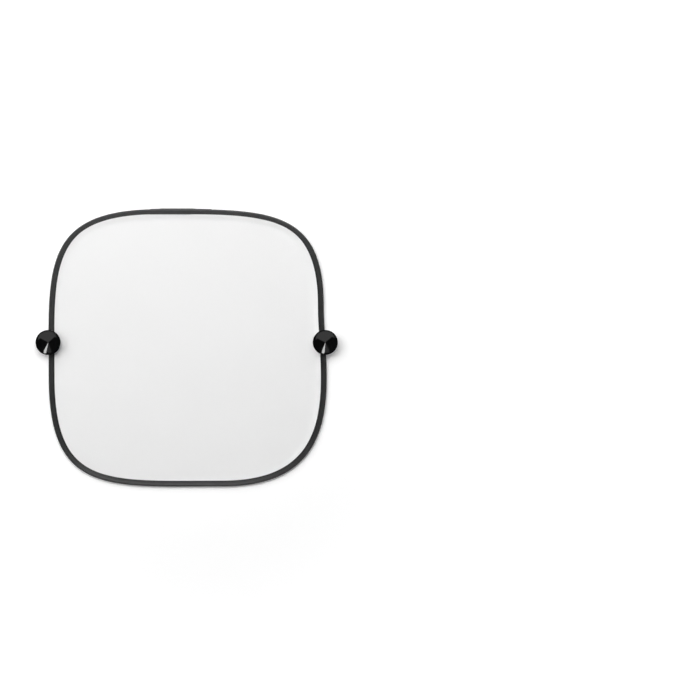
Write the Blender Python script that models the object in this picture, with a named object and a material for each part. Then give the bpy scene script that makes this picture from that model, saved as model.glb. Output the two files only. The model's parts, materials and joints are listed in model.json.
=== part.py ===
"""Car window sunshade: a spring-wire hoop inside a folded tape edge, a mesh sheet held by
that tape, and two suction cups whose slotted heads clip onto the edge.

Metres, +Z up. The shade lies flat on the backs of its two clip heads with the suction
faces up. The origin is under the middle of the whole, at the height it lies on.
"""

import math
from bisect import bisect_right

import bmesh
import bpy
from mathutils import Matrix, Vector
from mathutils.geometry import interpolate_bezier

# Hoop outline: how far the wire's centre line stands from the middle at each side's crown
HOOP_LEFT = 0.1923
HOOP_RIGHT = 0.1889
HOOP_TOP = 0.1921
HOOP_BOTTOM = 0.1923

# Where along its side each crown lies
LEFT_CROWN_Y = -0.0402
RIGHT_CROWN_Y = 0.0591
TOP_CROWN_X = -0.0383
BOTTOM_CROWN_X = 0.0491

# How far each corner's curve reaches along the side that it leaves or joins
REACH_RIGHT_UP = 0.1357
REACH_TOP_RIGHT = 0.1508
REACH_TOP_LEFT = 0.1668
REACH_LEFT_UP = 0.1518
REACH_LEFT_DOWN = 0.1651
REACH_BOTTOM_LEFT = 0.1614
REACH_BOTTOM_RIGHT = 0.1816
REACH_RIGHT_DOWN = 0.0937

# Spring wire and the crimped sleeve that joins its two ends at the top
WIRE_DIAMETER = 0.0025
WIRE_END_GAP = 0.0006
SLEEVE_LENGTH = 0.040
SLEEVE_WALL = 0.0003
SLEEVE_MIDDLE_X = -0.014
CRIMP_DEPTH = 0.0001
CRIMP_LENGTH = 0.0035
CRIMPS_PER_WIRE_END = 2

# Folded tape round the wire, with its two legs stitched over the mesh
TAPE_THICKNESS = 0.0005
LEG_DEPTH = 0.00625
LEG_DEPTH_TOP = 0.00515
TOP_STARTS_AT_SLOPE = 0.35
TOP_FULL_AT_SLOPE = 0.9
LEG_ROUNDING = 0.00015
LEG_BLEND = 0.00025
LEG_BLEND_ANGLE = math.radians(4.0)
LAP_LEFT_X = -0.052
LAP_RIGHT_X = 0.019
LAP_LEG_REACH = 0.0003
BULGE_RAMP = 0.004

# Mesh sheet
MESH_THICKNESS = 0.0004

# Clearances: round the wire and in the clip, and between what is squeezed together
CLEARANCE = 0.0003
SNUG_CLEARANCE = 0.0002

# Clip head of a suction cup
CLIP_Y = 0.0073
CLIP_FLOOR = 0.0020
CLIP_ROOF = 0.0017
HEAD_RADIUS = 0.0062
HEAD_ROUNDING = 0.0008
NECK_OUTWARD = 0.0019
SLOT_HALF_ANGLE = math.radians(50.0)

# Neck and cone of a suction cup
NECK_RADIUS = 0.0046
NECK_HEIGHT = 0.0015
NECK_FILLET = 0.0004
CUP_RADIUS = 0.0175
CUP_SLOPE = math.radians(20.0)
CUP_WALL_AT_NECK = 0.0018
CUP_WALL_AT_RIM = 0.0010
LIP_WIDTH = 0.0011
LIP_STEP = 0.0001
LIP_ROUNDING = 0.00015

# How finely round and curved forms are faceted
CURVE_STEPS = 300
RUN_PER_RING = 0.032
TURN_PER_RING = math.radians(6.0)
LEAST_RING_SPACING = 0.0025
BEAD_FACETS = 10
BORE_FACETS = 8
WIRE_FACETS = 8
SLEEVE_FACETS = 10
CUP_FACETS = 40
CLIP_BORE_FACETS = 28

# Worked out from the sizes above
WIRE_RADIUS = WIRE_DIAMETER / 2
SLEEVE_BORE = WIRE_RADIUS + SNUG_CLEARANCE + CRIMP_DEPTH
SLEEVE_RADIUS = SLEEVE_BORE + SLEEVE_WALL
TAPE_BORE = WIRE_RADIUS + CLEARANCE
TAPE_BORE_AT_SLEEVE = SLEEVE_RADIUS + SNUG_CLEARANCE
LEG_INNER = MESH_THICKNESS / 2 + SNUG_CLEARANCE
BEAD_RADIUS = TAPE_BORE + TAPE_THICKNESS
CLIP_BORE = BEAD_RADIUS + CLEARANCE
BEAD_HEIGHT = CLIP_FLOOR + CLIP_BORE
HEAD_HEIGHT = CLIP_FLOOR + 2 * CLIP_BORE + CLIP_ROOF
MESH_EDGE = TAPE_BORE_AT_SLEEVE

EAST = Vector((1.0, 0.0, 0.0))
NORTH = Vector((0.0, 1.0, 0.0))


class HoopPath:
    """The wire's centre line, counter-clockwise from the right-hand crown, by arc length."""

    def __init__(self):
        right = Vector((HOOP_RIGHT, RIGHT_CROWN_Y, 0.0))
        top = Vector((TOP_CROWN_X, HOOP_TOP, 0.0))
        left = Vector((-HOOP_LEFT, LEFT_CROWN_Y, 0.0))
        bottom = Vector((BOTTOM_CROWN_X, -HOOP_BOTTOM, 0.0))
        corners = (
            (right, NORTH * REACH_RIGHT_UP, EAST * REACH_TOP_RIGHT, top),
            (top, -EAST * REACH_TOP_LEFT, NORTH * REACH_LEFT_UP, left),
            (left, -NORTH * REACH_LEFT_DOWN, -EAST * REACH_BOTTOM_LEFT, bottom),
            (bottom, EAST * REACH_BOTTOM_RIGHT, -NORTH * REACH_RIGHT_DOWN, right),
        )
        self.points = []
        for start, leaving, joining, end in corners:
            curve = interpolate_bezier(start, start + leaving, end + joining, end, CURVE_STEPS + 1)
            self.points += curve[:-1]
        count = len(self.points)
        self.tangents = [
            (self.points[(i + 1) % count] - self.points[i - 1]).normalized() for i in range(count)
        ]
        self.points.append(self.points[0])
        self.tangents.append(self.tangents[0])
        self.lengths = [0.0]
        for here, beyond in zip(self.points, self.points[1:]):
            self.lengths.append(self.lengths[-1] + (beyond - here).length)
        self.total = self.lengths[-1]
        self.lap_right = self.crossing(0, LAP_RIGHT_X, 1)
        self.lap_left = self.crossing(0, LAP_LEFT_X, 1)
        self.sleeve_middle = self.crossing(0, SLEEVE_MIDDLE_X, 1)
        self.rings = self.ring_distances()

    def at(self, distance):
        """The point and the unit tangent at a distance along the wire."""
        distance %= self.total
        i = min(bisect_right(self.lengths, distance), len(self.lengths) - 1) - 1
        share = (distance - self.lengths[i]) / (self.lengths[i + 1] - self.lengths[i])
        point = self.points[i].lerp(self.points[i + 1], share)
        return point, self.tangents[i].lerp(self.tangents[i + 1], share).normalized()

    def outward(self, distance):
        """The unit vector in the hoop's plane that points away from the mesh."""
        _, tangent = self.at(distance)
        return Vector((tangent.y, -tangent.x, 0.0))

    def place(self, distance, out, up):
        """A point beside the wire, at bead height."""
        point, _ = self.at(distance)
        return point + self.outward(distance) * out + Vector((0.0, 0.0, up))

    def crossing(self, axis, value, side):
        """How far along the wire its coordinate on one axis is value, on one side of the hoop."""
        other = 1 - axis
        for i, (here, beyond) in enumerate(zip(self.points, self.points[1:])):
            low, high = sorted((here[axis], beyond[axis]))
            if here[other] * side > 0 and low <= value < high:
                share = (value - here[axis]) / (beyond[axis] - here[axis])
                return self.lengths[i] + share * (self.lengths[i + 1] - self.lengths[i])
        raise ValueError("the hoop doesn't reach that far")

    def ring_distances(self):
        """Where every sweep has a ring: closer where the hoop turns, and at each change of section."""
        reach = SLEEVE_LENGTH / 2 + SNUG_CLEARANCE
        keys = [self.lap_right, self.lap_left]
        keys += [self.sleeve_middle + side * (reach + run) for side in (-1, 1) for run in (0.0, BULGE_RAMP)]
        measure = [0.0]
        for i in range(1, len(self.points)):
            turn = self.tangents[i - 1].angle(self.tangents[i], 0.0)
            run = self.lengths[i] - self.lengths[i - 1]
            measure.append(measure[-1] + run / RUN_PER_RING + turn / TURN_PER_RING)
        count = round(measure[-1])
        found = list(keys)
        for n in range(count):
            wanted = measure[-1] * n / count
            i = bisect_right(measure, wanted) - 1
            share = (wanted - measure[i]) / (measure[i + 1] - measure[i])
            distance = self.lengths[i] + share * (self.lengths[i + 1] - self.lengths[i])
            if all(abs(distance - key) > LEAST_RING_SPACING for key in keys):
                found.append(distance)
        return sorted(found)


def circle_arc(radius, start, end, facets):
    """Points of an arc about the wire, as distances outward and up."""
    angles = (start + (end - start) * n / facets for n in range(facets + 1))
    return [(radius * math.cos(a), radius * math.sin(a)) for a in angles]


def tape_section(bore, wall, depth):
    """The folded tape's closed outline: a bead round the wire and two legs over the mesh."""
    radius = bore + wall
    leg_outer = LEG_INNER + wall
    start = math.asin(leg_outer / radius) + LEG_BLEND_ANGLE
    bead = circle_arc(radius, -math.pi + start, math.pi - start, BEAD_FACETS)
    upper_leg = [
        (-radius - LEG_BLEND, leg_outer),
        (-depth + LEG_ROUNDING, leg_outer),
        (-depth, leg_outer - LEG_ROUNDING),
        (-depth, LEG_INNER),
    ]
    lower_leg = [(out, -up) for out, up in reversed(upper_leg)]
    mouth = math.asin(LEG_INNER / bore)
    inside = circle_arc(bore, math.pi - mouth, -math.pi + mouth, BORE_FACETS)
    return bead + upper_leg + inside + lower_leg


def leg_depth(path, distance):
    """How far the tape's legs reach in from the wire, which is less along the top."""
    rise = path.outward(distance).y - TOP_STARTS_AT_SLOPE
    share = min(max(rise / (TOP_FULL_AT_SLOPE - TOP_STARTS_AT_SLOPE), 0.0), 1.0)
    smooth = share * share * (3 - 2 * share)
    return LEG_DEPTH + (LEG_DEPTH_TOP - LEG_DEPTH) * smooth


def tape_bore(path, distance):
    """The radius that the tape leaves inside, which grows over the sleeve."""
    past = abs(distance - path.sleeve_middle) - SLEEVE_LENGTH / 2 - SNUG_CLEARANCE
    share = min(max(1 - past / BULGE_RAMP, 0.0), 1.0)
    return TAPE_BORE + (TAPE_BORE_AT_SLEEVE - TAPE_BORE) * share


def swept(path, rings, closed):
    """A mesh through sections along the wire; each ring is a distance and its outline."""
    bm = bmesh.new()
    loops = []
    for distance, outline in rings:
        loops.append([bm.verts.new(path.place(distance, out, up)) for out, up in outline])
    pairs = list(zip(loops, loops[1:]))
    if closed:
        pairs.append((loops[-1], loops[0]))
    for here, beyond in pairs:
        for i in range(len(here)):
            bm.faces.new((here[i - 1], here[i], beyond[i], beyond[i - 1]))
    if not closed:
        bm.faces.new(loops[0])
        bm.faces.new(list(reversed(loops[-1])))
    return bm


def mesh_object(name, bm, material, smooth_angle=math.radians(40.0)):
    """Turns a bmesh into a named object with closed, outward-facing faces."""
    bmesh.ops.remove_doubles(bm, verts=bm.verts, dist=1e-7)
    bmesh.ops.recalc_face_normals(bm, faces=bm.faces)
    mesh = bpy.data.meshes.new(name)
    bm.to_mesh(mesh)
    bm.free()
    mesh.shade_smooth()
    mesh.set_sharp_from_angle(angle=smooth_angle)
    obj = bpy.data.objects.new(name, mesh)
    bpy.context.collection.objects.link(obj)
    if material is not None:
        mesh.materials.append(material)
    return obj


def material(name, colour, roughness, metallic=0.0):
    made = bpy.data.materials.new(name)
    made.use_nodes = True
    shader = made.node_tree.nodes["Principled BSDF"]
    shader.inputs["Base Color"].default_value = (*colour, 1.0)
    shader.inputs["Roughness"].default_value = roughness
    shader.inputs["Metallic"].default_value = metallic
    made.diffuse_color = (*colour, 1.0)
    return made


def edge_binding(path, fabric):
    """One length of folded tape all the way round, lapped over its own start at the top."""

    def single(distance):
        depth = leg_depth(path, distance)
        return distance, tape_section(tape_bore(path, distance), TAPE_THICKNESS, depth)

    def lapped(distance):
        depth = leg_depth(path, distance) + LAP_LEG_REACH
        return distance, tape_section(tape_bore(path, distance), 2 * TAPE_THICKNESS, depth)

    rings = []
    for distance in path.rings:
        if distance == path.lap_right:
            rings += [single(distance), lapped(distance)]
        elif distance == path.lap_left:
            rings += [lapped(distance), single(distance)]
        elif path.lap_right < distance < path.lap_left:
            rings.append(lapped(distance))
        else:
            rings.append(single(distance))
    return mesh_object("edge_binding", swept(path, rings, closed=True), fabric)


def wire_hoop(path, steel):
    """The spring wire, whose two ends meet inside the sleeve."""
    outline = circle_arc(WIRE_RADIUS, 0.0, math.tau, WIRE_FACETS)[:-1]
    first = path.sleeve_middle + WIRE_END_GAP / 2
    last = path.sleeve_middle + path.total - WIRE_END_GAP / 2
    twice_round = path.rings + [distance + path.total for distance in path.rings]
    between = [d for d in twice_round if first + LEAST_RING_SPACING < d < last - LEAST_RING_SPACING]
    rings = [(distance, outline) for distance in (first, *between, last)]
    return mesh_object("wire_hoop", swept(path, rings, closed=False), steel)


def wire_ferrule(path, steel):
    """The sleeve, pinched onto each wire end by narrow crimps."""
    start = path.sleeve_middle - SLEEVE_LENGTH / 2
    crimps = 2 * CRIMPS_PER_WIRE_END
    stops = [(0.0, 0.0), (SLEEVE_LENGTH, 0.0)]
    for n in range(crimps):
        crimp = SLEEVE_LENGTH * (n + 0.5) / crimps
        for run, pinch in ((CRIMP_LENGTH / 2, 0.0), (CRIMP_LENGTH / 4, CRIMP_DEPTH)):
            stops += [(crimp - run, pinch), (crimp + run, pinch)]
    bm = bmesh.new()
    walls = []
    for radius in (SLEEVE_RADIUS, SLEEVE_BORE):
        loops = []
        for run, pinch in sorted(stops):
            outline = circle_arc(radius - pinch, 0.0, math.tau, SLEEVE_FACETS)[:-1]
            loops.append([bm.verts.new(path.place(start + run, out, up)) for out, up in outline])
        walls.append(loops)
    outer, inner = walls
    pairs = [*zip(outer, outer[1:]), *zip(inner, inner[1:]), (outer[0], inner[0]), (outer[-1], inner[-1])]
    for here, beyond in pairs:
        for i in range(SLEEVE_FACETS):
            bm.faces.new((here[i - 1], here[i], beyond[i], beyond[i - 1]))
    return mesh_object("wire_ferrule", bm, steel)


def mesh_panel(path, fabric):
    """The sheet, cut a little inside the wire so that both tape legs cover its edge."""
    bm = bmesh.new()
    rim = [bm.verts.new(path.place(distance, -MESH_EDGE, -MESH_THICKNESS / 2)) for distance in path.rings]
    underside = bm.faces.new(rim)
    grown = bmesh.ops.extrude_face_region(bm, geom=[underside])
    raised = [item for item in grown["geom"] if isinstance(item, bmesh.types.BMVert)]
    bmesh.ops.translate(bm, verts=raised, vec=(0.0, 0.0, MESH_THICKNESS))
    return mesh_object("mesh_panel", bm, fabric)


def cup_profile():
    """The suction cup's turned outline from the floor up to the middle of its hollow."""
    rounding = HEAD_ROUNDING
    corner = rounding * (1 - math.sqrt(0.5))
    neck_top = HEAD_HEIGHT + NECK_HEIGHT
    hollow = neck_top + CUP_WALL_AT_NECK
    cone_radius = CUP_RADIUS - LIP_WIDTH
    cone_top = hollow + cone_radius * math.tan(CUP_SLOPE)
    lip = cone_top + LIP_STEP
    return [
        (0.0, 0.0),
        (HEAD_RADIUS - rounding, 0.0),
        (HEAD_RADIUS - corner, corner),
        (HEAD_RADIUS, rounding),
        (HEAD_RADIUS, HEAD_HEIGHT - rounding),
        (HEAD_RADIUS - corner, HEAD_HEIGHT - corner),
        (HEAD_RADIUS - rounding, HEAD_HEIGHT),
        (NECK_RADIUS + NECK_FILLET, HEAD_HEIGHT),
        (NECK_RADIUS, HEAD_HEIGHT + NECK_FILLET),
        (NECK_RADIUS, neck_top - NECK_FILLET),
        (NECK_RADIUS + NECK_FILLET, neck_top),
        (CUP_RADIUS - LIP_ROUNDING, lip - CUP_WALL_AT_RIM),
        (CUP_RADIUS, lip - CUP_WALL_AT_RIM + LIP_ROUNDING),
        (CUP_RADIUS, lip - LIP_ROUNDING),
        (CUP_RADIUS - LIP_ROUNDING, lip),
        (cone_radius + LIP_STEP, lip),
        (cone_radius, cone_top),
        (0.0, hollow),
    ]


def cup_blank():
    """The cup before its clip is cut, about the bead's centre, with +X outward."""
    bm = bmesh.new()
    profile = [
        bm.verts.new((NECK_OUTWARD + radius, 0.0, height - BEAD_HEIGHT)) for radius, height in cup_profile()
    ]
    edges = [bm.edges.new(pair) for pair in zip(profile, profile[1:])]
    bmesh.ops.spin(
        bm,
        geom=profile + edges,
        cent=(NECK_OUTWARD, 0.0, 0.0),
        axis=(0.0, 0.0, 1.0),
        angle=math.tau,
        steps=CUP_FACETS,
        use_merge=True,
    )
    return bm


def bore_cutter():
    """The round hole through the head that the bead lies in."""
    bm = bmesh.new()
    bmesh.ops.create_cone(
        bm,
        cap_ends=True,
        segments=CLIP_BORE_FACETS,
        radius1=CLIP_BORE,
        radius2=CLIP_BORE,
        depth=4 * HEAD_RADIUS,
        matrix=Matrix.Rotation(math.pi / 2, 4, "X"),
    )
    return bm


def slot_cutter():
    """The wedge that opens the bore towards the mesh and lets the cup swivel on the edge."""
    above = HEAD_HEIGHT - BEAD_HEIGHT + NECK_HEIGHT / 3
    below = BEAD_HEIGHT + CLIP_FLOOR
    far = -2 * HEAD_RADIUS
    slope = math.tan(SLOT_HALF_ANGLE)
    outline = [(0.0, 0.0), (-above / slope, above), (far, above), (far, -below), (-below / slope, -below)]
    bm = bmesh.new()
    side = bm.faces.new([bm.verts.new((x, -2 * HEAD_RADIUS, z)) for x, z in outline])
    grown = bmesh.ops.extrude_face_region(bm, geom=[side])
    moved = [item for item in grown["geom"] if isinstance(item, bmesh.types.BMVert)]
    bmesh.ops.translate(bm, verts=moved, vec=(0.0, 4 * HEAD_RADIUS, 0.0))
    return bm


def cut(obj, cutter_name, bm):
    """Cuts a shape that rides on the object out of it."""
    cutter = mesh_object(cutter_name, bm, None)
    cutter.parent = obj
    cutter.hide_render = True
    cutter.display_type = "WIRE"
    boolean = obj.modifiers.new(cutter_name, "BOOLEAN")
    boolean.operation = "DIFFERENCE"
    boolean.solver = "EXACT"
    boolean.object = cutter


def suction_cup(name, path, side, vinyl):
    """A cup clipped on the left or right of the hoop, with its origin on its swivel axis."""
    distance = path.crossing(1, CLIP_Y, side)
    outward = path.outward(distance)
    cup = mesh_object(name, cup_blank(), vinyl, math.radians(30.0))
    cup.location = path.place(distance, 0.0, BEAD_HEIGHT)
    cup.rotation_euler.z = math.atan2(outward.y, outward.x)
    cut(cup, name + "_bore", bore_cutter())
    cut(cup, name + "_slot", slot_cutter())
    return cup


def stand_on_origin(pieces):
    """Moves the whole so that the origin is under its middle, at its lowest point."""
    bpy.context.view_layer.update()
    corners = [piece.matrix_world @ vertex.co for piece in pieces for vertex in piece.data.vertices]
    low = [min(corner[axis] for corner in corners) for axis in range(3)]
    high = [max(corner[axis] for corner in corners) for axis in range(3)]
    base = Vector(((low[0] + high[0]) / 2, (low[1] + high[1]) / 2, low[2]))
    for piece in pieces:
        piece.location -= base


def main():
    for obj in list(bpy.data.objects):
        bpy.data.objects.remove(obj)
    steel = material("spring_steel", (0.42, 0.43, 0.45), 0.32, 1.0)
    white_mesh = material("white_mesh", (0.86, 0.87, 0.87), 0.85)
    grey_tape = material("dark_grey_tape", (0.075, 0.077, 0.080), 0.75)
    black_vinyl = material("black_vinyl", (0.012, 0.012, 0.013), 0.16)
    path = HoopPath()
    shade = [
        wire_hoop(path, steel),
        wire_ferrule(path, steel),
        mesh_panel(path, white_mesh),
        edge_binding(path, grey_tape),
    ]
    for piece in shade:
        piece.location.z = BEAD_HEIGHT
    cups = [
        suction_cup("suction_cup_left", path, -1, black_vinyl),
        suction_cup("suction_cup_right", path, 1, black_vinyl),
    ]
    stand_on_origin(shade + cups)


main()
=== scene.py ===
"""A car window sunshade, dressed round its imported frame.

The shade is a white knitted sheet in a spring-wire hoop, bound by a ribbed dark tape that is
folded over the wire and stitched, with a glossy suction cup clipped on at each side.
Everything is in metres. +Z is the way the suction faces point, and +Y is the top edge.
"""

import json
import logging
import math
from bisect import bisect_right
from collections.abc import Iterator
from contextlib import contextmanager
from dataclasses import dataclass, field
from enum import Enum

import bpy
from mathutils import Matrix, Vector
from mathutils.geometry import interpolate_bezier

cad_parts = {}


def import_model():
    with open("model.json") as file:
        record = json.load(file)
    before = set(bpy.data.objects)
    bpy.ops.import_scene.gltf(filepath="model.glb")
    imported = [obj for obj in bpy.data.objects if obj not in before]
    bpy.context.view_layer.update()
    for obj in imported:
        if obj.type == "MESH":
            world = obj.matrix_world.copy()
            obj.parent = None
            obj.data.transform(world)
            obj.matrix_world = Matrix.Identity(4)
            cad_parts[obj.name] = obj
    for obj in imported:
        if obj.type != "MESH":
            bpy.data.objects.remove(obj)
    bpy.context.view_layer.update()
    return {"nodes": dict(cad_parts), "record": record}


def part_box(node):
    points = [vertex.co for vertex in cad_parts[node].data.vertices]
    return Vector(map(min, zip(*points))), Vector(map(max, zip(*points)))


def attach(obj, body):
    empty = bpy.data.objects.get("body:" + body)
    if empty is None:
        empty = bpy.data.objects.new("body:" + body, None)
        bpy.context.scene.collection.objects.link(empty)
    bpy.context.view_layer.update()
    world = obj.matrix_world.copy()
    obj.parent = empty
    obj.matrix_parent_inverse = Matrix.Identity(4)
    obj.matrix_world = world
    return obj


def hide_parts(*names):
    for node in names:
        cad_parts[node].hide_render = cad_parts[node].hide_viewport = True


LOG = logging.getLogger("sunshade")
MM = 0.001
Piece = bpy.types.Object
Socket = bpy.types.NodeSocket
Material = bpy.types.Material


class Side(Enum):
    """The two sides that a suction cup is clipped on."""

    LEFT = "left"
    RIGHT = "right"


class Face(Enum):
    """The two faces of the shade; the value is the way each one points along Z."""

    FRONT = 1
    BACK = -1


# Hand tools: selecting, drawing an outline, and finishing a mesh


def deselect_all() -> None:
    """Leaves nothing selected and no piece in edit mode."""
    if bpy.context.object is not None and bpy.context.object.mode != "OBJECT":
        bpy.ops.object.mode_set(mode="OBJECT")
    bpy.ops.object.select_all(action="DESELECT")


def pick(piece: Piece) -> None:
    """Selects one piece alone and makes it the active one.

    Args:
        piece: The object to work on.
    """
    deselect_all()
    piece.select_set(True)
    bpy.context.view_layer.objects.active = piece


@contextmanager
def editing(piece: Piece, action: str = "SELECT") -> Iterator[None]:
    """Opens a piece in edit mode for as long as a block runs.

    Args:
        piece: The object to work on.
        action: What is done to its selection first; empty for nothing.

    Yields:
        Nothing.
    """
    pick(piece)
    bpy.ops.object.mode_set(mode="EDIT")
    if action:
        bpy.ops.mesh.select_all(action=action)
    yield
    bpy.ops.object.mode_set(mode="OBJECT")


def pull(way: Vector) -> None:
    """Pulls what is selected in the open piece out by a distance."""
    bpy.ops.mesh.extrude_region_move(TRANSFORM_OT_translate={"value": way})


def freeze() -> None:
    """Puts the selected piece's place, turn and scale into its mesh."""
    bpy.ops.object.transform_apply(location=True, rotation=True, scale=True)


def draw_outline(name: str, points: list[Vector], closed: bool) -> Piece:
    """Draws a line of points by pulling one vertex out of the last.

    Args:
        name: The new piece's name.
        points: The corners, in order.
        closed: Whether the last corner is joined to the first.

    Returns:
        A piece that holds the outline as loose edges.
    """
    deselect_all()
    bpy.ops.mesh.primitive_plane_add(size=1.0, location=points[0])
    piece = bpy.context.object
    piece.name = name
    with editing(piece):
        bpy.ops.mesh.select_mode(type="VERT")
        bpy.ops.mesh.merge(type="CENTER")
        for here, beyond in zip(points, points[1:]):
            pull(beyond - here)
        bpy.ops.mesh.select_all(action="DESELECT")
    if closed:
        for vertex in piece.data.vertices:
            vertex.select = vertex.index in (0, len(points) - 1)
        with editing(piece, ""):
            bpy.ops.mesh.edge_face_add()
    freeze()
    return piece


def apply_modifier(piece: Piece, kind: str, **settings: object) -> None:
    """Adds a modifier, sets it and applies it.

    Args:
        piece: The object that the modifier shapes.
        kind: Blender's name of the modifier's type.
        **settings: The modifier's own settings.
    """
    pick(piece)
    modifier = piece.modifiers.new(kind.lower(), kind)
    for setting, value in settings.items():
        setattr(modifier, setting, value)
    bpy.ops.object.modifier_apply(modifier=modifier.name)


def repeat(piece: Piece, count: int, step: float, **settings: object) -> None:
    """Repeats a piece along X.

    Args:
        piece: The object to repeat.
        count: How many of it there are in the end.
        step: The distance from one to the next.
        **settings: Further settings of the repetition.
    """
    apply_modifier(
        piece,
        "ARRAY",
        count=count,
        use_relative_offset=False,
        use_constant_offset=True,
        constant_offset_displace=(step, 0.0, 0.0),
        **settings,
    )


def lay_round(piece: Piece, guide: Piece, height: float) -> None:
    """Bends a straight piece round the hoop.

    Args:
        piece: The straight piece, along X.
        guide: The curve that it follows.
        height: The curve's height over the floor.
    """
    piece.location.z = height
    apply_modifier(piece, "CURVE", object=guide, deform_axis="POS_X")
    freeze()


def close_up(piece: Piece, distance: float = 1e-7) -> None:
    """Merges doubled vertices and turns every face outwards.

    Args:
        piece: The object to mend.
        distance: How close two vertices are when they count as one.
    """
    with editing(piece):
        bpy.ops.mesh.remove_doubles(threshold=distance)
        bpy.ops.mesh.normals_make_consistent(inside=False)


def seal(piece: Piece, distance: float) -> None:
    """Merges the open rims of a piece with each other.

    Args:
        piece: The object to close.
        distance: How far apart the two rims are at most.
    """
    with editing(piece, "DESELECT"):
        bpy.ops.mesh.select_mode(type="VERT")
        bpy.ops.mesh.select_non_manifold()
        bpy.ops.mesh.remove_doubles(threshold=distance)


def smooth(piece: Piece, degrees: float = 40.0) -> None:
    """Shades a piece smooth except where its faces meet at more than an angle."""
    pick(piece)
    bpy.ops.object.shade_smooth_by_angle(angle=math.radians(degrees))


def join(name: str, pieces: list[Piece]) -> Piece:
    """Makes several objects one piece.

    Args:
        name: The joined piece's name.
        pieces: The objects, of which the first takes in the others.

    Returns:
        The joined piece.
    """
    pick(pieces[0])
    for other in pieces[1:]:
        other.select_set(True)
    bpy.ops.object.join()
    pieces[0].name = name
    return pieces[0]


def remove(piece: Piece) -> None:
    """Deletes a helper that is no longer needed."""
    bpy.data.objects.remove(piece, do_unlink=True)


def add_object(name: str, data: bpy.types.ID) -> Piece:
    """Puts a new mesh, lamp or camera into the scene.

    Args:
        name: The new object's name.
        data: What it holds.

    Returns:
        The object.
    """
    made = bpy.data.objects.new(name, data)
    bpy.context.collection.objects.link(made)
    return made


def eased(share: float) -> float:
    """A share from 0 to 1 with a soft start and end."""
    share = min(max(share, 0.0), 1.0)
    return share * share * (3.0 - 2.0 * share)


# Finishes


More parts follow.
